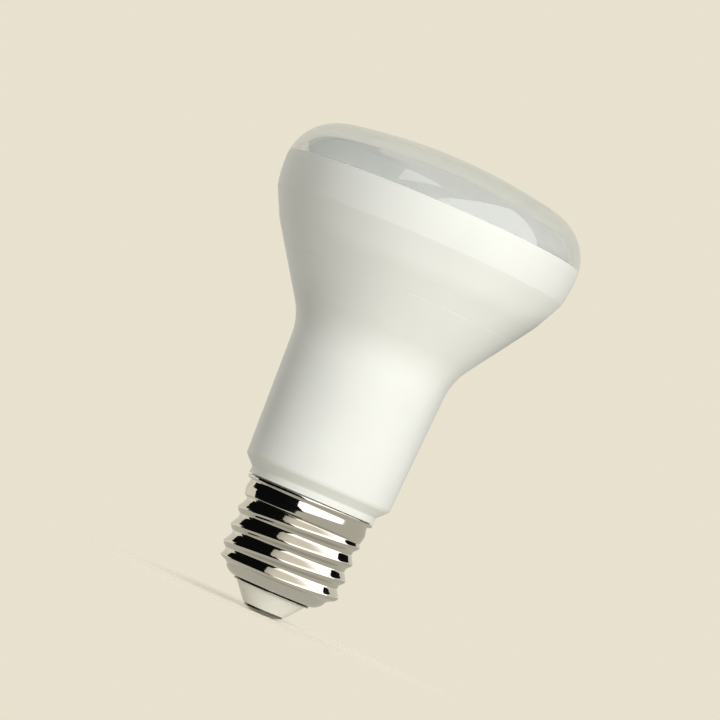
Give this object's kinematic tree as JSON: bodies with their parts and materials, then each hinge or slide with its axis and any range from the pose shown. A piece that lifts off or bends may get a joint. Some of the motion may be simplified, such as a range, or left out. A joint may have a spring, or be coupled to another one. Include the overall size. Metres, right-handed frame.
{
  "type": "reflector bulb",
  "caption": "White LED reflector bulb: flared moulded housing, see-through domed cover and plated Edison screw cap, with LED board, heat sink and driver inside.",
  "frame": {"origin": "centre of the centre contact's end face, where the cap meets its holder's contact", "axes": "+Z along the lamp's axis from the contact to the cover, +X and +Y across it"},
  "size_m": [0.063, 0.063, 0.0987],
  "materials": {
    "nickel": "bright nickel plate, mirror-like",
    "insulator_white": "white moulded plastic, slightly matt",
    "housing_white": "satin white moulded plastic",
    "cover_clear": "see-through grey moulded plastic, glossy",
    "aluminium": "spun aluminium",
    "reflector_white": "white moulded plastic",
    "board_white": "white solder mask on aluminium",
    "led_body": "white LED package with yellow phosphor",
    "connector_white": "white moulded plastic",
    "screw_steel": "zinc-plated steel",
    "board_green": "green circuit board",
    "sleeve_black": "shrunk plastic sleeve",
    "ferrite": "dark grey ferrite",
    "copper_wire": "enamelled copper wire",
    "film_yellow": "yellow dipped film capacitor",
    "fuse_blue": "blue-grey lacquer",
    "package_black": "black moulding compound",
    "lead_brown": "brown wire insulation",
    "lead_tin": "tinned copper strand",
    "lead_red": "red wire insulation",
    "lead_black": "black wire insulation"
  },
  "bodies": {
    "root": {"board_screws": "screw_steel", "bridge_rectifier": "package_black", "bulk_capacitor": "sleeve_black", "centre_contact": "nickel", "chip_resistors": "package_black", "cover": "cover_clear", "driver_board": "board_green", "driver_chip": "package_black", "film_capacitor": "film_yellow", "fuse_resistor": "fuse_blue", "heat_sink": "aluminium", "housing": "housing_white", "inductor_core": "ferrite", "inductor_winding": "copper_wire", "insulator": "insulator_white", "led_01": "led_body", "led_02": "led_body", "led_03": "led_body", "led_04": "led_body", "led_05": "led_body", "led_06": "led_body", "led_07": "led_body", "led_08": "led_body", "led_09": "led_body", "led_10": "led_body", "led_11": "led_body", "led_12": "led_body", "led_13": "led_body", "led_14": "led_body", "led_15": "led_body", "led_board": "board_white", "led_connector": "connector_white", "led_lead_negative": "lead_black", "led_lead_positive": "lead_red", "live_lead": "lead_brown", "neutral_lead": "lead_tin", "output_capacitor": "sleeve_black", "rectifier_diode": "package_black", "reflector": "reflector_white", "screw_shell": "nickel"}
  },
  "joints": []
}
